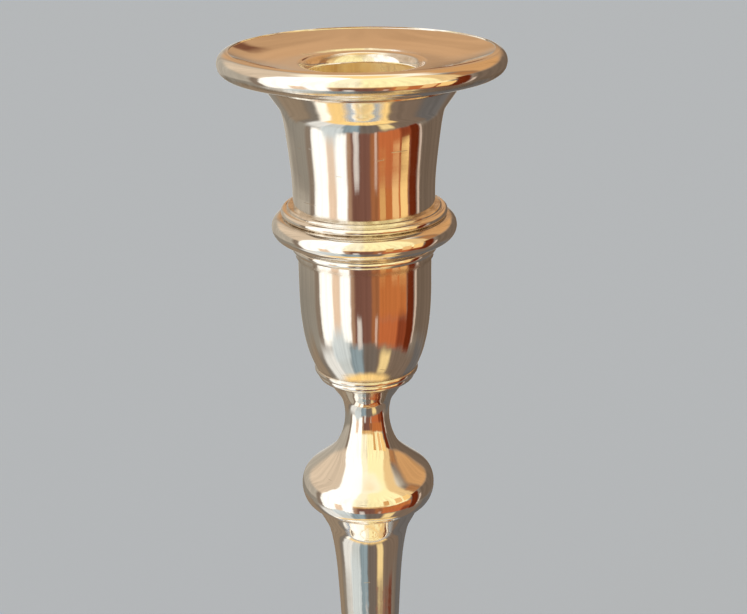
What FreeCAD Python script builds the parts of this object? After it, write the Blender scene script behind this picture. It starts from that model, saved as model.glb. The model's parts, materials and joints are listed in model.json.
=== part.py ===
"""Round table candlestick, in millimetres.

The origin is the centre of the underside and +Z points up.  Nearly every piece is a
solid of revolution, so each is drawn as a half section of (radius, height) points and
turned about the axis.  Sheet pieces are drawn as their outer surface and given a wall.
"""
import FreeCAD, Part
import math
import os

# Driving dimensions
total_height = 268.0
sheet_wall = 0.7
liner_wall = 0.5
liner_lip_drop = 0.4
liner_lip_spread = 0.3

candle_bore_radius = 11.3
sleeve_length = 24.8
sleeve_clearance = 0.3
seat_gap = 0.05
rim_radius = 30.0
rim_roll_radius = 2.5
throat_lip_radius = 2.3
pan_depth = 2.9

mouth_radius = 20.9
mouth_wire_height = 3.2
mouth_wire_radius = 22.1
barrel_radius = 15.3
barrel_foot = 228.0
barrel_straight_top = 238.0
lap_top = 233.0

band_bottom = 227.6
band_top = 232.7
band_radius = 20.0
lower_reed_bottom = 223.4
bowl_radius = 14.55
bowl_bottom = 197.6
socket_floor_height = 213.0
socket_floor_thickness = 1.0

neck_top = 194.1
neck_radius = 5.1
knop_height = 167.6
knop_radius = 15.3
knop_bottom = 163.4
knop_joint_radius = 12.6

column_foot = 57.0
foot_ring_bottom = 50.0
foot_ring_bore = 6.0
step_radius = 33.0
step_height = 22.5
tray_inner_height = 20.2
tray_outer_radius = 57.5
tray_outer_height = 11.0
foot_radius = 63.0
border_bottom = 5.5
skirt_radius = 61.0
skirt_bottom = 0.5

baize_thickness = 1.6
base_plate_thickness = 0.8
rod_radius = 2.5
rod_hole_radius = 2.6
rod_bottom = 3.8
rod_top = 220.5
nut_hole_radius = 2.55
nut_across_flats = 8.0
nut_height = 4.0
top_washer_radius = 5.0
bottom_washer_radius = 8.0
washer_thickness = 1.0
recess_radius = 9.0
recess_top = 10.2

# Heights and radii that follow from them
rim_height = total_height - rim_roll_radius
rim_wire_radius = rim_radius - rim_roll_radius
pan_floor = total_height - pan_depth
throat_radius = candle_bore_radius + throat_lip_radius
sleeve_top = pan_floor - throat_lip_radius
sleeve_radius = candle_bore_radius + sheet_wall
liner_bore_radius = sleeve_radius + sleeve_clearance
seat_height = pan_floor - sheet_wall - seat_gap
plate_radius = skirt_radius - sheet_wall
loading_bottom = baize_thickness + base_plate_thickness
socket_floor_top = socket_floor_height + socket_floor_thickness

UP = (0.0, 1.0)
OUT = (1.0, 0.0)


# Drawing helpers

def point(place):
    return FreeCAD.Vector(place[0], 0.0, place[1])


def line(start, end):
    return Part.LineSegment(point(start), point(end))


def arc(start, middle, end):
    return Part.Arc(point(start), point(middle), point(end))


def smooth_curve(points, start_tangent, end_tangent):
    """A curve through the points, with unit tangents and a parameter close to its length."""
    lengths = [0.0]
    for before, after in zip(points, points[1:]):
        lengths.append(lengths[-1] + before.distanceToPoint(after))
    curve = Part.BSplineCurve()
    curve.interpolate(
        Points=points,
        Parameters=lengths,
        InitialTangent=start_tangent,
        FinalTangent=end_tangent,
        Scale=False,
    )
    return curve


def spline(places, start_direction, end_direction):
    start_tangent = point(start_direction).normalize()
    end_tangent = point(end_direction).normalize()
    return smooth_curve([point(place) for place in places], start_tangent, end_tangent)


def beside(curve, distance):
    """The curve that runs parallel to this one, to the right of its direction."""
    if isinstance(curve, Part.BSplineCurve):
        places = curve.getKnots()
    else:
        first, last = curve.FirstParameter, curve.LastParameter
        places = [first, (first + last) / 2, last]
    tangents = [curve.tangent(place)[0] for place in places]
    moved = []
    for place, tangent in zip(places, tangents):
        right = FreeCAD.Vector(tangent.z, 0.0, -tangent.x)
        moved.append(curve.value(place) + right * distance)
    if isinstance(curve, Part.LineSegment):
        return Part.LineSegment(moved[0], moved[-1])
    if isinstance(curve, Part.BSplineCurve):
        return smooth_curve(moved, tangents[0], tangents[-1])
    return Part.Arc(*moved)


def ends(curves):
    first, last = curves[0], curves[-1]
    return first.value(first.FirstParameter), last.value(last.LastParameter)


def turned(curves):
    """Turn a closed half section about the axis."""
    wire = Part.Wire(Part.__sortEdges__([curve.toShape() for curve in curves]))
    solid = Part.Face(wire).revolve(FreeCAD.Vector(), FreeCAD.Vector(0, 0, 1), 360)
    if solid.Volume < 0:
        solid.reverse()
    return solid


def turned_sheet(curves, wall):
    """Turn one smooth surface, with a wall to the right (+) or left (-) of its direction."""
    other_side = [beside(curve, wall) for curve in curves]
    start, end = ends(curves)
    other_start, other_end = ends(other_side)
    caps = [Part.LineSegment(start, other_start), Part.LineSegment(end, other_end)]
    return turned(curves + other_side + caps)


def closed_by_lines(curves, *corners):
    """Close a run of curves with straight lines through the corners, from its end to its start."""
    start, end = ends(curves)
    stops = [end] + [point(corner) for corner in corners] + [start]
    return curves + [Part.LineSegment(a, b) for a, b in zip(stops, stops[1:])]


def ring(inner_radius, outer_radius, bottom, top):
    corners = [(inner_radius, bottom), (outer_radius, bottom), (outer_radius, top), (inner_radius, top)]
    return turned([line(a, b) for a, b in zip(corners, corners[1:] + corners[:1])])


def disc(radius, bottom, top):
    return Part.makeCylinder(radius, top - bottom, FreeCAD.Vector(0, 0, bottom))


def trimmed(solid, radius, bottom, top):
    """Square off the ends of a turned sheet."""
    return solid.common(disc(radius, bottom, top))


# Surfaces that more than one piece follows

def bowl_surface():
    sides = spline(
        [(11.25, 197.1), (12.55, 200.3), (13.4, 203.4), (14.0, 206.8), (bowl_radius, 217.0)],
        (0.44, 1.0), UP,
    )
    top = line((bowl_radius, 217.0), (bowl_radius, lap_top))
    return [sides, top]


def knop_underside_surface():
    flat = line((rod_hole_radius, knop_bottom), (knop_joint_radius, knop_bottom))
    sides = spline(
        [(knop_joint_radius, knop_bottom), (14.1, 164.1), (15.0, 165.7), (knop_radius, knop_height)],
        OUT, UP,
    )
    return [flat, sides]


def neck_surface():
    return [spline(
        [
            (knop_radius, knop_height), (14.75, 170.0), (12.6, 172.2), (9.6, 174.7),
            (7.4, 177.0), (6.0, 179.8), (neck_radius, 184.0), (5.2, 187.0), (5.85, 189.4),
            (6.85, 191.0), (7.95, 192.6), (9.1, 194.1), (9.8, 195.0),
        ],
        UP, (0.8, 1.0),
    )]


def column_surface():
    return [spline(
        [
            (8.8, column_foot), (7.2, 64.0), (6.4, 76.0), (6.15, 94.0), (6.65, 122.0), (7.4, 140.0),
            (8.1, 149.4), (8.75, 153.8), (9.55, 157.0), (10.9, 159.8), (knop_joint_radius, knop_bottom),
        ],
        (-0.35, 1.0), (0.5, 1.0),
    )]


def tray_surface():
    return [spline(
        [(tray_outer_radius, tray_outer_height), (51.5, 16.2), (43.0, 19.3), (step_radius, tray_inner_height)],
        (-0.8, 1.0), (-1.0, 0.0),
    )]


def trumpet_surface():
    return [spline(
        [(step_radius, step_height), (24.0, 25.4), (16.2, 31.5), (11.6, 40.0), (9.8, foot_ring_bottom)],
        (-1.0, 0.1), (-0.05, 1.0),
    )]


# The nozzle, which lifts out

def nozzle_rim():
    top = (rim_wire_radius, total_height)
    bottom = (rim_wire_radius, rim_height - rim_roll_radius)
    return turned([arc(top, (rim_radius, rim_height), bottom), line(bottom, top)])


def nozzle_pan():
    """The dish turns down into the throat, and stops against the inside of the rim wire."""
    slant = throat_lip_radius * (1 - math.cos(math.radians(45)))
    throat = arc(
        (candle_bore_radius, sleeve_top),
        (candle_bore_radius + slant, pan_floor - slant),
        (throat_radius, pan_floor),
    )
    dish = spline(
        [(throat_radius, pan_floor), (21.0, 265.7), (27.8, 267.9)],
        OUT, (1.0, 0.45),
    )
    return trimmed(turned_sheet([throat, dish], sheet_wall), rim_wire_radius, sleeve_top, total_height)


def nozzle_sleeve():
    return ring(candle_bore_radius, sleeve_radius, sleeve_top - sleeve_length, sleeve_top)


# The socket

def barrel_surface():
    straight = line((barrel_radius, barrel_foot), (barrel_radius, barrel_straight_top))
    flare = spline(
        [
            (barrel_radius, barrel_straight_top), (15.85, 246.0), (16.4, 250.8), (16.85, 253.8),
            (17.4, 255.7), (18.35, 257.2), (19.65, 259.1), (21.4, 261.6),
        ],
        UP, (0.7, 1.0),
    )
    return [straight, flare]


def socket_barrel():
    return trimmed(turned_sheet(barrel_surface(), -sheet_wall), mouth_radius, barrel_foot, seat_height)


def socket_mouth_wire():
    bottom = (mouth_radius, seat_height - mouth_wire_height)
    middle = (mouth_wire_radius, seat_height - mouth_wire_height / 2)
    top = (mouth_radius, seat_height)
    return turned([arc(bottom, middle, top), line(top, bottom)])


def socket_liner():
    """The liner's lip follows the throat of the pan, and its flange reaches the mouth wire."""
    lip_start = sleeve_top - liner_lip_drop
    lip_end = throat_radius + liner_lip_spread
    tube = line((liner_bore_radius, socket_floor_height), (liner_bore_radius, lip_start))
    lip = spline([(liner_bore_radius, lip_start), (lip_end, seat_height)], UP, OUT)
    flange = line((lip_end, seat_height), (mouth_radius, seat_height))
    return turned_sheet([tube, lip, flange], liner_wall)


def socket_floor():
    return ring(rod_hole_radius, liner_bore_radius, socket_floor_height, socket_floor_top)


def collar_upper_reed():
    step = (16.7, 234.2)
    lower_bead = arc((17.3, band_top), (17.95, 233.5), step)
    upper_bead = arc(step, (16.5, 234.8), (15.9, 235.0))
    return turned(closed_by_lines(
        [lower_bead, upper_bead], (barrel_radius, 235.0), (barrel_radius, band_top)))


def collar_band():
    middle = (band_bottom + band_top) / 2
    bead = arc((17.2, band_bottom), (band_radius, middle), (17.3, band_top))
    return turned(closed_by_lines([bead], (barrel_radius, band_top), (barrel_radius, band_bottom)))


def collar_lower_reed():
    """A fine half-round reed, with a small fillet below it that runs out on the bowl."""
    fillet_radius = 15.0
    reed_bottom = 224.7
    reed_top = 226.6
    bead = arc((15.2, reed_bottom), (15.85, (reed_bottom + reed_top) / 2), (15.2, reed_top))
    return turned(closed_by_lines(
        [bead],
        (15.2, band_bottom), (bowl_radius, band_bottom), (bowl_radius, lower_reed_bottom),
        (fillet_radius, lower_reed_bottom), (fillet_radius, reed_bottom),
    ))


def socket_bowl():
    shell = turned_sheet(bowl_surface(), -sheet_wall)
    return trimmed(shell, bowl_radius, bowl_bottom, lap_top)


# The neck, knop and column

def bowl_collet():
    """The solid piece that closes the bowl, with two fine reeds that step in to the neck."""
    between, below = (10.7, 195.95), (9.8, 194.55)
    upper_reed = arc((11.2, bowl_bottom), (11.6, 196.75), between)
    lower_reed = arc(between, (10.75, 195.1), below)
    edge = [upper_reed, lower_reed, line(below, (9.4, neck_top))]
    return turned(closed_by_lines(edge, (rod_hole_radius, neck_top), (rod_hole_radius, bowl_bottom)))


def neck_shell():
    return trimmed(turned_sheet(neck_surface(), -sheet_wall), knop_radius, knop_height, neck_top)


def knop_underside():
    return turned_sheet(knop_underside_surface(), -sheet_wall)


def column_shell():
    return trimmed(turned_sheet(column_surface(), -sheet_wall), knop_radius, column_foot, knop_bottom)


def column_foot_ring():
    lower_fillet = (10.6, 51.2)
    upper_fillet = (10.2, 55.6)
    bead = arc(lower_fillet, (12.8, 53.4), upper_fillet)
    return turned(closed_by_lines(
        [bead],
        (9.5, 55.6), (9.5, column_foot), (foot_ring_bore, column_foot),
        (foot_ring_bore, foot_ring_bottom), (10.6, foot_ring_bottom),
    ))


# The foot

def foot_trumpet():
    return turned_sheet(trumpet_surface(), -sheet_wall)


def foot_step_reed():
    bead = arc((35.4, tray_inner_height), (37.2, 22.2), (35.4, 24.2))
    return turned(closed_by_lines([bead], (step_radius, 24.2), (step_radius, tray_inner_height)))


def foot_tray():
    return turned_sheet(tray_surface(), -sheet_wall)


def foot_border():
    lower = (plate_radius, border_bottom)
    upper = (plate_radius, tray_outer_height)
    bead = arc(lower, (foot_radius, (border_bottom + tray_outer_height) / 2), upper)
    return turned(closed_by_lines(
        [bead], (tray_outer_radius, tray_outer_height), (tray_outer_radius, border_bottom)))


def foot_skirt():
    return ring(plate_radius, skirt_radius, skirt_bottom, border_bottom)


def base_plate():
    return disc(plate_radius, baize_thickness, loading_bottom)


def baize_pad():
    return disc(plate_radius, 0, baize_thickness)


# The loading and the tie rod

def foot_filling():
    """Pitch poured under the tray and the trumpet, around a recess for the lower nut."""
    under_tray = [beside(curve, -sheet_wall) for curve in tray_surface()]
    under_trumpet = [beside(curve, -sheet_wall) for curve in trumpet_surface()]
    tray_start, tray_end = ends(under_tray)
    joint = [Part.LineSegment(tray_end, ends(under_trumpet)[0])]
    return turned(closed_by_lines(
        under_tray + joint + under_trumpet,
        (rod_hole_radius, foot_ring_bottom), (rod_hole_radius, recess_top), (recess_radius, recess_top),
        (recess_radius, loading_bottom), (plate_radius, loading_bottom), (plate_radius, border_bottom),
        (tray_outer_radius, border_bottom), (tray_outer_radius, tray_start.z),
    ))


def column_filling():
    """Pitch in the column, with the plug that fills the bore of the ring below it."""
    inside = [beside(curve, -sheet_wall) for curve in column_surface()]
    start, end = ends(inside)
    filling = turned(closed_by_lines(inside, (rod_hole_radius, end.z), (rod_hole_radius, start.z)))
    plug = ring(rod_hole_radius, foot_ring_bore, foot_ring_bottom, column_foot)
    return trimmed(filling, knop_radius, column_foot, knop_bottom).fuse(plug)


def neck_filling():
    inside = [beside(curve, -sheet_wall) for curve in knop_underside_surface()[1:] + neck_surface()]
    start, end = ends(inside)
    filling = turned(closed_by_lines(inside, (rod_hole_radius, end.z), (rod_hole_radius, start.z)))
    return trimmed(filling, knop_radius, knop_bottom, neck_top)


def bowl_filling():
    inside = [beside(curve, -sheet_wall) for curve in bowl_surface()[:1]]
    start, end = ends(inside)
    filling = turned(closed_by_lines(inside, (rod_hole_radius, end.z), (rod_hole_radius, start.z)))
    return trimmed(filling, bowl_radius, bowl_bottom, socket_floor_height)


def tie_rod():
    return disc(rod_radius, rod_bottom, rod_top)


def hex_nut(bottom):
    corner_radius = nut_across_flats / 2 / math.cos(math.radians(30))
    corners = []
    for side in range(7):
        angle = math.radians(60 * side)
        corners.append(FreeCAD.Vector(corner_radius * math.cos(angle), corner_radius * math.sin(angle), bottom))
    prism = Part.Face(Part.makePolygon(corners)).extrude(FreeCAD.Vector(0, 0, nut_height))
    return prism.cut(disc(nut_hole_radius, bottom, bottom + nut_height))


def washer(radius, bottom):
    return ring(nut_hole_radius, radius, bottom, bottom + washer_thickness)


def rod_top_washer():
    return washer(top_washer_radius, socket_floor_top)


def rod_top_nut():
    return hex_nut(socket_floor_top + washer_thickness)


def rod_bottom_washer():
    return washer(bottom_washer_radius, recess_top - washer_thickness)


def rod_bottom_nut():
    return hex_nut(recess_top - washer_thickness - nut_height)


pieces = [
    nozzle_rim, nozzle_pan, nozzle_sleeve,
    socket_mouth_wire, socket_barrel, socket_liner, socket_floor,
    collar_upper_reed, collar_band, collar_lower_reed, socket_bowl,
    bowl_collet, neck_shell, knop_underside, column_shell, column_foot_ring,
    foot_trumpet, foot_step_reed, foot_tray, foot_border, foot_skirt, base_plate, baize_pad,
    foot_filling, column_filling, neck_filling, bowl_filling,
    tie_rod, rod_top_nut, rod_top_washer, rod_bottom_nut, rod_bottom_washer,
]

os.makedirs("parts", exist_ok=True)
for make_piece in pieces:
    shape = make_piece()
    shape.exportStep("parts/" + make_piece.__name__ + ".step")
    box = shape.optimalBoundingBox(False)
    print(f"{make_piece.__name__:20s} {shape.isValid()} {len(shape.Solids)} solid(s) "
          f"{shape.Volume:10.1f} mm3  z {box.ZMin:7.2f} to {box.ZMax:7.2f}  width {box.XLength:7.2f}")
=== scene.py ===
"""Looks of a silver table candlestick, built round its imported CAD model.

Everything is in metres, with +Z up and the camera on the -Y side.  The candlestick stands on
a pale floor.  What polished silver shows is its surroundings, so a studio is built round it:
soft boxes and cards painted in the world by direction, and three lit gilded edges near by.
"""
import json
import math

import bmesh
import bpy
from mathutils import Matrix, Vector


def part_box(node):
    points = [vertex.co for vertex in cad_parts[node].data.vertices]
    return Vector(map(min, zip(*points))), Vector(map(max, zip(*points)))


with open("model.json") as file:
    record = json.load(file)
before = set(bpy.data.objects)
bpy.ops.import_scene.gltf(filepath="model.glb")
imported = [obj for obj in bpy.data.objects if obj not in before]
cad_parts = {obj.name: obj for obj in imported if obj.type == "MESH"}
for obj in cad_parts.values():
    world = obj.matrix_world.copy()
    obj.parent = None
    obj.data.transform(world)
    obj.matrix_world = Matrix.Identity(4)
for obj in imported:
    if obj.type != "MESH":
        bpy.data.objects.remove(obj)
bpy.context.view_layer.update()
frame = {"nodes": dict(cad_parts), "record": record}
scene = bpy.context.scene
scene.view_settings.view_transform = "Standard"

rim_low, rim_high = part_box("nozzle_rim")
rim_centre_height = (rim_low.z + rim_high.z) / 2
baize_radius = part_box("baize_pad")[1].x
bore = next(mount for mount in frame["record"]["mounts"] if mount["name"] == "candle_bore")
candle_radius = bore["dims"]["r_mm"] / 1000


# Shader graphs

class Graph:
    """Builds a node tree.  Every input may be a number, a colour or another node's socket."""

    def __init__(self, owner):
        owner.use_nodes = True
        self.tree = owner.node_tree
        self.tree.nodes.clear()

    def node(self, kind, inputs=None, **settings):
        made = self.tree.nodes.new(kind)
        for name, value in settings.items():
            setattr(made, name, value)
        for name, value in (inputs or {}).items():
            self.put(made.inputs[name], value)
        return made

    def put(self, socket, value):
        if isinstance(value, bpy.types.NodeSocket):
            self.tree.links.new(value, socket)
        else:
            socket.default_value = value

    def math(self, operation, first, second=0.0, third=0.0, clamp=False):
        made = self.node("ShaderNodeMath", operation=operation, use_clamp=clamp)
        for socket, value in zip(made.inputs, (first, second, third)):
            self.put(socket, value)
        return made.outputs[0]

    def ramp(self, value, start, end, low=0.0, high=1.0):
        """Smooth change from low at start to high at end."""
        made = self.node("ShaderNodeMapRange", interpolation_type="SMOOTHSTEP")
        for socket, number in zip(made.inputs, (value, start, end, low, high)):
            self.put(socket, number)
        return made.outputs[0]

    def mix(self, amount, first, second):
        made = self.node("ShaderNodeMix", data_type="RGBA")
        self.put(made.inputs[0], amount)
        self.put(made.inputs[6], first)
        self.put(made.inputs[7], second)
        return made.outputs[2]

    def noise(self, vector, scale, detail=2.0, roughness=0.5, distortion=0.0):
        made = self.node("ShaderNodeTexNoise", {
            "Vector": vector, "Scale": scale, "Detail": detail,
            "Roughness": roughness, "Distortion": distortion})
        return made.outputs["Fac"]

    def split(self, vector):
        return self.node("ShaderNodeSeparateXYZ", {"Vector": vector}).outputs

    def join(self, x, y, z):
        return self.node("ShaderNodeCombineXYZ", {"X": x, "Y": y, "Z": z}).outputs[0]

    def radius(self, x, y):
        squares = self.math("ADD", self.math("MULTIPLY", x, x), self.math("MULTIPLY", y, y))
        return self.math("SQRT", squares)

    def bearing(self, x, y):
        """Degrees round the axis: 0 towards -Y, positive towards +X."""
        return self.math("DEGREES", self.math("ARCTAN2", x, self.math("MULTIPLY", y, -1.0)))

    def bump(self, height, distance, normal=None):
        made = self.node("ShaderNodeBump", {"Height": height, "Distance": distance})
        if normal is not None:
            self.put(made.inputs["Normal"], normal)
        return made.outputs[0]

    def nicks(self, place, scale, rarity, width, length):
        """Short scratches that lie nearly level, in a few of the cells of a random pattern."""
        cells = self.node("ShaderNodeTexVoronoi", {"Vector": place, "Scale": scale})
        centre = self.node("ShaderNodeVectorMath", {0: cells.outputs["Position"], 1: place},
                           operation="SUBTRACT").outputs[0]
        chance = self.node("ShaderNodeSeparateColor", {"Color": cells.outputs["Color"]}).outputs
        x, y, z = self.split(centre)
        slope = self.math("MULTIPLY", self.math("SUBTRACT", chance[1], 0.5), 0.5)
        level = self.math("ADD", z, self.math("MULTIPLY", self.math("ADD", x, y), slope))
        thin = self.ramp(self.math("ABSOLUTE", level), width, 0.0)
        short = self.ramp(self.radius(x, y), length, length / 2)
        present = self.math("GREATER_THAN", chance[0], rarity)
        return self.math("MULTIPLY", self.math("MULTIPLY", thin, short), present)

    def close(self, kind, socket, shader):
        self.put(self.node(kind).inputs[socket], shader)


def colour(red, green, blue):
    return (red, green, blue, 1.0)


# The studio

# What the camera sees behind the candlestick, to go with the floor.
PALE = colour(0.445, 0.462, 0.49)
# What the silver shows wherever no card is.
ROOM_LOW = colour(0.20, 0.17, 0.14)
ROOM_WALLS = colour(0.26, 0.20, 0.15)
ROOM_CEILING = colour(1.15, 1.05, 0.84)

WANDER_DEGREES = 5.0

# Later cards cover earlier ones.  Bearings are 0 towards the camera and grow to its right.
# name: (bearing from, to, elevation from, to, colour, width of the soft edge), angles in degrees
CARDS = {
    "left_wall": (-181, -97, -19, 56, (0.47, 0.415, 0.34), 6),
    "left_wall_low": (-181, -97, -36, -18, (0.28, 0.25, 0.205), 6),
    "left_wall_high": (-152, -84, 12, 62, (0.72, 0.57, 0.42), 12),
    "right_wall": (97, 181, -30, 12, (0.17, 0.12, 0.085), 8),
    "right_wall_high": (104, 166, 14, 62, (0.64, 0.34, 0.14), 12),
    "back_wall": (158, 202, 8, 62, (0.58, 0.34, 0.175), 14),
    "back_window": (168, 192, -31, 3, (0.62, 0.59, 0.54), 7),
    "back_shelf": (169, 176.5, 17.5, 26, (0.21, 0.085, 0.045), 4),
    "table_back": (112, 182, -90, -30, (0.145, 0.13, 0.12), 10),
    "table_back_left": (178, 244, -90, -30, (0.30, 0.225, 0.155), 10),
    "table_left": (-100, -58, -90, -36, (0.86, 0.84, 0.79), 12),
    "table_middle_left": (-64, -32, -90, -36, (0.60, 0.63, 0.61), 10),
    "table_front": (-34, -4, -90, -35, (0.27, 0.34, 0.37), 9),
    "table_centre": (-6, 26, -90, -35, (0.17, 0.135, 0.11), 8),
    "table_right": (24, 118, -90, -38, (0.20, 0.14, 0.10), 9),
    "ceiling_lamp": (-181, 181, 74, 96, (1.06, 0.74, 0.32), 10),
    "lamp_wall": (-4, 70, -9, 70, (1.12, 0.97, 0.52), 9),
    "lamp_wall_side": (62, 86, 4, 68, (0.88, 0.60, 0.28), 9),
    "lamp_wall_left": (-42, -2, -8, 70, (1.12, 1.00, 0.70), 10),
    "front_amber": (-28, 30, -12, -3.5, (0.74, 0.44, 0.18), 5),
    "front_furniture": (-21, 12, -36, -10, (0.19, 0.084, 0.059), 4),
    "furniture_edge": (-28, -19, -36, -10, (0.45, 0.27, 0.17), 5),
    "furniture_right": (10, 24, -36, -10, (0.34, 0.125, 0.05), 5),
    "wood_panel": (23, 76, -25, -8, (0.54, 0.165, 0.046), 4),
    "wood_panel_low": (23, 62, -37, -24, (0.54, 0.145, 0.047), 5),
    "wood_shade": (58, 92, -38, -24, (0.26, 0.055, 0.02), 6),
    "dark_red": (77, 92, -38, 14, (0.14, 0.022, 0.006), 4),
    "brown_side": (84, 104, 16, 44, (0.42, 0.19, 0.075), 9),
    "pale_slit": (94, 98, -34, -8, (0.62, 0.47, 0.37), 2),
    "lamp_low": (30, 52, -60, -40, (0.95, 0.70, 0.32), 8),
    "window": (-86, -26, -35, 80, (1.30, 1.26, 1.17), 5),
    "curtain": (-58, -45, -35, -6, (0.92, 0.68, 0.49), 5),
    "table_rise": (-70, -33, -46, -33, (0.66, 0.71, 0.71), 8),
    "table_peak": (-64, -41, -38, -28.5, (0.70, 0.75, 0.75), 9),
    "thin_light": (-15, -7, -39, -24, (0.72, 0.64, 0.58), 3),
    "thin_light_right": (17, 21, -37, -24, (0.66, 0.44, 0.34), 2),
    "cloth_below": (-94, 80, -95, -62, (1.05, 0.70, 0.27), 8),
    "window_below": (-106, -92, -95, -60, (1.25, 1.15, 0.98), 6),
}


def card_mask(graph, bearing, elevation, card):
    """1 on the card, falling smoothly to 0 across its edge."""
    left, right, low, high, _, edge = card
    centre, half_width = (left + right) / 2, (right - left) / 2
    middle, half_height = (low + high) / 2, (high - low) / 2
    turned = graph.math("WRAP", graph.math("SUBTRACT", bearing, centre), 180.0, -180.0)
    across = graph.ramp(graph.math("ABSOLUTE", turned), half_width + edge / 2, half_width - edge / 2)
    away = graph.math("ABSOLUTE", graph.math("SUBTRACT", elevation, middle))
    upright = graph.ramp(away, half_height + edge / 2, half_height - edge / 2)
    return graph.math("MULTIPLY", across, upright)


def make_studio():
    world = bpy.data.worlds.new("studio")
    scene.world = world
    graph = Graph(world)
    direction = graph.node("ShaderNodeTexCoord").outputs["Generated"]
    x, y, z = graph.split(direction)
    # The edges of the cards wander a little, and soft upright folds run through them.
    uneven = graph.math("SUBTRACT", graph.noise(direction, 5.0, 3.0), 0.5)
    wander = graph.math("MULTIPLY", uneven, WANDER_DEGREES)
    bearing = graph.math("ADD", graph.bearing(x, y), wander)
    elevation = graph.math("ADD", graph.math("DEGREES", graph.math("ARCSINE", z)), wander)
    light = graph.mix(graph.ramp(elevation, -45, -25), ROOM_LOW, ROOM_WALLS)
    light = graph.mix(graph.ramp(elevation, 46, 66), light, ROOM_CEILING)
    for card in CARDS.values():
        light = graph.mix(card_mask(graph, bearing, elevation, card), light, colour(*card[4]))
    flat = graph.math("MAXIMUM", graph.radius(x, y), 0.05)
    round_about = graph.join(graph.math("DIVIDE", x, flat), graph.math("DIVIDE", y, flat),
                             graph.math("MULTIPLY", z, 0.12))
    folds = graph.ramp(graph.noise(round_about, 12.0, 3.0, 0.5), 0.3, 0.7, 0.87, 1.11)
    seen = graph.node("ShaderNodeLightPath").outputs["Is Camera Ray"]
    # The folds fade out overhead, where they would all run together.
    plain = graph.math("MAXIMUM", seen, graph.ramp(elevation, 35, 60))
    strength = graph.math("ADD", graph.math("MULTIPLY", graph.math("SUBTRACT", 1.0, plain), folds), plain)
    background = graph.node("ShaderNodeBackground", {
        "Color": graph.mix(seen, light, PALE), "Strength": strength})
    graph.close("ShaderNodeOutputWorld", "Surface", background.outputs[0])


# Lit gilded edges near the candlestick.  The silver shows them at different heights in the
# barrel and in the bowl below it, as it wouldn't if they were far away like the cards.
# name: (bearing from, to in degrees, colour)
GILDED_EDGES = {
    "gilded_edge": (24, 33, (0.72, 0.38, 0.13)),
    "gilded_post": (44, 55, (0.90, 0.53, 0.22)),
    "gilded_frame": (58, 71, (1.00, 0.64, 0.24)),
}
GILDED_DISTANCE = 0.19  # from the axis
GILDED_FOOT = 0.162  # height
GILDED_FADE = 0.006  # above and below the foot
GILDED_TOP = 0.25  # height


def gilded_material(name, tint):
    """Glows for the silver's reflections, and fades out at its foot."""
    material = bpy.data.materials.new(name)
    graph = Graph(material)
    height = graph.split(graph.node("ShaderNodeNewGeometry").outputs["Position"])[2]
    there = graph.ramp(height, GILDED_FOOT - GILDED_FADE, GILDED_FOOT + GILDED_FADE)
    glow = graph.node("ShaderNodeEmission", {"Color": colour(*tint), "Strength": 1.0})
    clear = graph.node("ShaderNodeBsdfTransparent")
    shader = graph.node("ShaderNodeMixShader", {0: there, 1: clear.outputs[0], 2: glow.outputs[0]})
    graph.close("ShaderNodeOutputMaterial", "Surface", shader.outputs[0])
    return material


def make_gilded_edges():
    """Upright strips, bent round the axis, which are only there for the silver to reflect."""
    for name, (left, right, tint) in GILDED_EDGES.items():
        mesh = bpy.data.meshes.new(name)
        shape = bmesh.new()
        columns = []
        for bearing in range(left, right + 1):
            across = GILDED_DISTANCE * math.sin(math.radians(bearing))
            along = -GILDED_DISTANCE * math.cos(math.radians(bearing))
            columns.append([shape.verts.new((across, along, height))
                            for height in (GILDED_FOOT - GILDED_FADE, GILDED_TOP)])
        for (low, high), (next_low, next_high) in zip(columns, columns[1:]):
            shape.faces.new((low, next_low, next_high, high))
        shape.to_mesh(mesh)
        shape.free()
        mesh.materials.append(gilded_material(name, tint))
        edge = bpy.data.objects.new(name, mesh)
        scene.collection.objects.link(edge)
        edge.visible_camera = False
        edge.visible_diffuse = False
        edge.visible_shadow = False


FLOOR_RADIUS = 8.0
# The floor shows in the silver as far out as the first distance, and not beyond the second.
FLOOR_SEEN_IN_SILVER = 0.066
FLOOR_LOST_IN_SILVER = 0.085
# Bluish, because the studio's light is warm: the two together come out as a pale grey.
FLOOR_TINT = colour(0.505, 0.635, 0.93)


def floor_material():
    """Pale and matt, with a hole under the baize, so that the baize is lit for a view from below.

    Far from the candlestick it leaves the silver's view of the studio clear.
    """
    material = bpy.data.materials.new("pale_floor")
    graph = Graph(material)
    place = graph.node("ShaderNodeNewGeometry")
    x, y, z = graph.split(place.outputs["Position"])
    from_axis = graph.radius(x, y)
    covered = graph.math("LESS_THAN", from_axis, baize_radius - 0.0005)
    far = graph.ramp(from_axis, FLOOR_SEEN_IN_SILVER, FLOOR_LOST_IN_SILVER)
    reflected = graph.node("ShaderNodeLightPath").outputs["Is Glossy Ray"]
    hidden = graph.math("MAXIMUM", graph.math("MULTIPLY", far, reflected), place.outputs["Backfacing"])
    hidden = graph.math("MAXIMUM", hidden, covered)
    diffuse = graph.node("ShaderNodeBsdfDiffuse", {"Color": FLOOR_TINT})
    clear = graph.node("ShaderNodeBsdfTransparent")
    shader = graph.node("ShaderNodeMixShader", {0: hidden, 1: diffuse.outputs[0], 2: clear.outputs[0]})
    graph.close("ShaderNodeOutputMaterial", "Surface", shader.outputs[0])
    return material


def make_floor():
    mesh = bpy.data.meshes.new("floor")
    shape = bmesh.new()
    bmesh.ops.create_circle(shape, cap_ends=True, segments=96, radius=FLOOR_RADIUS)
    shape.to_mesh(mesh)
    shape.free()
    mesh.materials.append(floor_material())
    floor = bpy.data.objects.new("floor", mesh)
    scene.collection.objects.link(floor)


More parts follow.
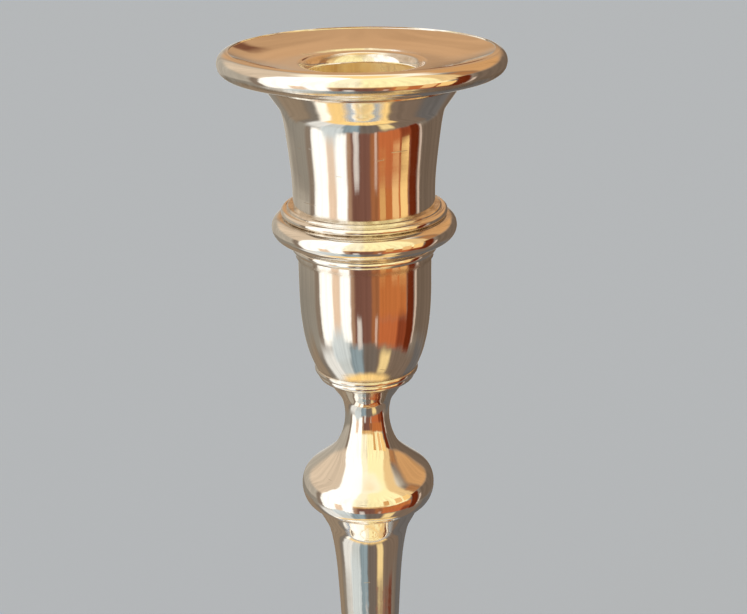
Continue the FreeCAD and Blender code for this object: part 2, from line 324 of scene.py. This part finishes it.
def make_camera():
    """A close view from a little above the rim, which crops the candlestick below the knop."""
    distance, rise = 0.269, 0.0481
    pitch, roll, turn = math.radians(20.92), -0.0125, -0.0065
    camera = bpy.data.objects.new("camera", bpy.data.cameras.new("camera"))
    camera.data.sensor_width = 36.0
    camera.data.lens = 62.65
    camera.data.clip_start = 0.01
    facing = (Matrix.Rotation(turn, 4, "Z") @ Matrix.Rotation(math.pi / 2 - pitch, 4, "X")
              @ Matrix.Rotation(roll, 4, "Z"))
    camera.matrix_world = Matrix.Translation((0.0, -distance, rim_centre_height + rise)) @ facing
    scene.collection.objects.link(camera)
    scene.camera = camera


# Materials

def finish(graph, **inputs):
    """End a material in a principled shader.  The names of the inputs have _ for spaces."""
    named = {name.replace("_", " "): value for name, value in inputs.items()}
    shader = graph.node("ShaderNodeBsdfPrincipled", named)
    graph.close("ShaderNodeOutputMaterial", "Surface", shader.outputs[0])


CREASE_WIDTH = 0.0010
CREASE_CORE = 0.0001


def seam_heights():
    """Where two pieces of silver meet in a crease that a polishing cloth doesn't reach."""
    ringed = ["socket_mouth_wire", "collar_upper_reed", "collar_band", "collar_lower_reed",
              "bowl_collet", "column_foot_ring"]
    corners = [corner.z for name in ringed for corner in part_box(name)]
    corners.append(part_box("knop_underside")[0].z)
    return sorted({round(height, 4) for height in corners})


def polished_silver():
    """Bright silver, warm with age, with smudges, buffing lines, a few nicks and dark creases."""
    material = bpy.data.materials.new("polished_silver")
    graph = Graph(material)
    place = graph.node("ShaderNodeTexCoord").outputs["Object"]
    x, y, z = graph.split(place)

    # A height difference counts for more where the surface lies nearly level.  The 1.01 keeps
    # what it is divided by away from 0.
    level = graph.split(graph.node("ShaderNodeNewGeometry").outputs["Normal"])[2]
    steep = graph.math("SQRT", graph.math("SUBTRACT", 1.01, graph.math("MULTIPLY", level, level)))
    crease = 0.0
    for height in seam_heights():
        away = graph.math("ABSOLUTE", graph.math("SUBTRACT", z, height))
        near = graph.ramp(graph.math("DIVIDE", away, steep), CREASE_WIDTH, CREASE_CORE)
        crease = graph.math("MAXIMUM", crease, near)
    patchy = graph.ramp(graph.noise(place, 260.0, 4.0, 0.65), 0.30, 0.66)
    crease = graph.math("MULTIPLY", crease, patchy)

    smudges = graph.ramp(graph.noise(place, 62.0, 5.0, 0.62, 0.4), 0.42, 0.72)
    clouds = graph.ramp(graph.noise(place, 26.0, 3.0), 0.35, 0.70)
    turned = graph.node("ShaderNodeVectorMath", {0: place, 1: (1.0, 1.0, 26.0)}, operation="MULTIPLY")
    buffing = graph.noise(turned.outputs[0], 85.0, 3.0, 0.7)

    nick = graph.nicks(place, 105.0, 0.62, 0.00007, 0.0021)
    nick = graph.math("MAXIMUM", nick, graph.nicks(place, 240.0, 0.80, 0.00005, 0.0009))

    tone = graph.mix(clouds, colour(0.960, 0.945, 0.915), colour(0.940, 0.905, 0.850))
    tone = graph.mix(graph.math("MULTIPLY", smudges, 0.35), tone, colour(0.86, 0.82, 0.75))
    tone = graph.mix(graph.math("MULTIPLY", crease, 0.55), tone, colour(0.44, 0.33, 0.20))
    tone = graph.mix(graph.math("MULTIPLY", nick, 0.8), tone, colour(0.30, 0.23, 0.16))

    roughness = graph.ramp(smudges, 0.0, 1.0, 0.045, 0.105)
    roughness = graph.math("ADD", roughness, graph.ramp(buffing, 0.35, 0.75, 0.0, 0.03))
    roughness = graph.math("ADD", roughness, graph.math("MULTIPLY", crease, 0.22))

    waves = graph.bump(graph.noise(place, 95.0, 2.0), 0.00006)
    lines = graph.bump(buffing, 0.0000016, waves)
    dents = graph.bump(graph.math("SUBTRACT", 1.0, nick), 0.00003, lines)
    finish(graph, Base_Color=tone, Roughness=roughness, Metallic=1.0, Normal=dents)
    return material


def dull_silver():
    """The inside of the socket, unpolished.  Where the candle sits it is yellow with old wax."""
    material = bpy.data.materials.new("dull_silver")
    graph = Graph(material)
    place = graph.node("ShaderNodeTexCoord").outputs["Object"]
    x, y, z = graph.split(place)
    waxed = graph.ramp(graph.radius(x, y), candle_radius + 0.0005, candle_radius + 0.0002)
    stained = graph.ramp(graph.noise(place, 130.0, 5.0, 0.65), 0.38, 0.68)
    streaked = graph.node("ShaderNodeVectorMath", {0: place, 1: (1.0, 1.0, 0.15)}, operation="MULTIPLY")
    streaks = graph.ramp(graph.noise(streaked.outputs[0], 420.0, 3.0, 0.6), 0.45, 0.75)
    tone = graph.mix(stained, colour(1.00, 0.86, 0.54), colour(0.93, 0.69, 0.34))
    tone = graph.mix(graph.math("MULTIPLY", streaks, 0.5), tone, colour(0.55, 0.30, 0.11))
    bare = graph.mix(stained, colour(0.86, 0.83, 0.77), colour(0.72, 0.66, 0.56))
    bumps = graph.bump(stained, 0.00005)
    finish(graph, Base_Color=graph.mix(waxed, bare, tone), Normal=bumps,
           Metallic=graph.ramp(waxed, 0.0, 1.0, 1.0, 0.12),
           Roughness=graph.ramp(stained, 0.0, 1.0, 0.26, 0.5))
    return material


def old_iron():
    """Grey, with rust that starts in patches, and a hammered unevenness."""
    material = bpy.data.materials.new("old_iron")
    graph = Graph(material)
    place = graph.node("ShaderNodeTexCoord").outputs["Object"]
    grain = graph.noise(place, 900.0, 4.0, 0.6)
    rust = graph.ramp(graph.noise(place, 210.0, 6.0, 0.7), 0.44, 0.60)
    bare = graph.mix(grain, colour(0.30, 0.28, 0.26), colour(0.42, 0.40, 0.38))
    rusted = graph.mix(grain, colour(0.17, 0.055, 0.020), colour(0.32, 0.12, 0.045))
    finish(graph, Base_Color=graph.mix(rust, bare, rusted),
           Metallic=graph.ramp(rust, 0.0, 1.0, 1.0, 0.15),
           Roughness=graph.ramp(rust, 0.0, 1.0, 0.38, 0.88),
           Normal=graph.bump(graph.math("ADD", rust, graph.math("MULTIPLY", grain, 0.5)), 0.0001))
    return material


def plate_metal():
    """The tinned plate that closes the foot, grey and spotted."""
    material = bpy.data.materials.new("tinned_plate")
    graph = Graph(material)
    place = graph.node("ShaderNodeTexCoord").outputs["Object"]
    spots = graph.ramp(graph.noise(place, 300.0, 5.0, 0.7), 0.52, 0.64)
    clouds = graph.noise(place, 60.0, 3.0)
    tone = graph.mix(clouds, colour(0.52, 0.50, 0.46), colour(0.66, 0.63, 0.57))
    finish(graph, Base_Color=graph.mix(spots, tone, colour(0.26, 0.20, 0.14)), Metallic=0.9,
           Roughness=graph.ramp(spots, 0.0, 1.0, 0.30, 0.62), Normal=graph.bump(spots, 0.00004))
    return material


def pitch():
    """Black-brown resin, cast hot: glossy and gently rippled, with dusty flecks."""
    material = bpy.data.materials.new("pitch")
    graph = Graph(material)
    place = graph.node("ShaderNodeTexCoord").outputs["Object"]
    ripples = graph.noise(place, 150.0, 4.0, 0.55)
    dust = graph.ramp(graph.noise(place, 800.0, 3.0, 0.7), 0.56, 0.72)
    tone = graph.mix(ripples, colour(0.012, 0.009, 0.007), colour(0.034, 0.023, 0.015))
    finish(graph, Base_Color=graph.mix(dust, tone, colour(0.10, 0.085, 0.065)), Metallic=0.0,
           Roughness=graph.ramp(dust, 0.0, 1.0, 0.28, 0.75), Normal=graph.bump(ripples, 0.0004))
    return material


def baize():
    """Green wool cloth with a short nap, paler where it has rubbed on tables."""
    material = bpy.data.materials.new("green_baize")
    graph = Graph(material)
    place = graph.node("ShaderNodeTexCoord").outputs["Object"]
    x, y, z = graph.split(place)
    fibres = graph.noise(place, 2600.0, 3.0, 0.75, 1.5)
    nap = graph.noise(place, 420.0, 4.0, 0.65, 0.8)
    edge = graph.ramp(graph.radius(x, y), 0.047, 0.060)
    rubbed = graph.math("MULTIPLY", edge, graph.ramp(graph.noise(place, 90.0, 4.0, 0.6), 0.36, 0.66))
    tone = graph.mix(fibres, colour(0.008, 0.055, 0.026), colour(0.035, 0.150, 0.070))
    tone = graph.mix(graph.math("MULTIPLY", nap, 0.35), tone, colour(0.060, 0.17, 0.085))
    tone = graph.mix(graph.math("MULTIPLY", rubbed, 0.55), tone, colour(0.20, 0.24, 0.14))
    height = graph.math("ADD", fibres, graph.math("MULTIPLY", nap, 1.6))
    finish(graph, Base_Color=tone, Roughness=0.95, Metallic=0.0, Sheen_Weight=0.45,
           Sheen_Roughness=0.55, Normal=graph.bump(height, 0.0003))
    return material


make_studio()
make_gilded_edges()
make_floor()
make_camera()
scene.cycles.glossy_bounces = 12  # the reeds and flares mirror one another many times

materials = {
    "silver": polished_silver(),
    "silver_inside": dull_silver(),
    "iron": old_iron(),
    "base_metal": plate_metal(),
    "pitch": pitch(),
    "baize": baize(),
}
for part in frame["record"]["subparts"]:
    cad = frame["nodes"][part["node"]]
    cad.data.materials.clear()
    # The sleeve has the silver slot, but it isn't polished: waxed inside, dull and bare outside.
    slot = "silver_inside" if part["node"] == "nozzle_sleeve" else part["material_slot"]
    cad.data.materials.append(materials[slot])
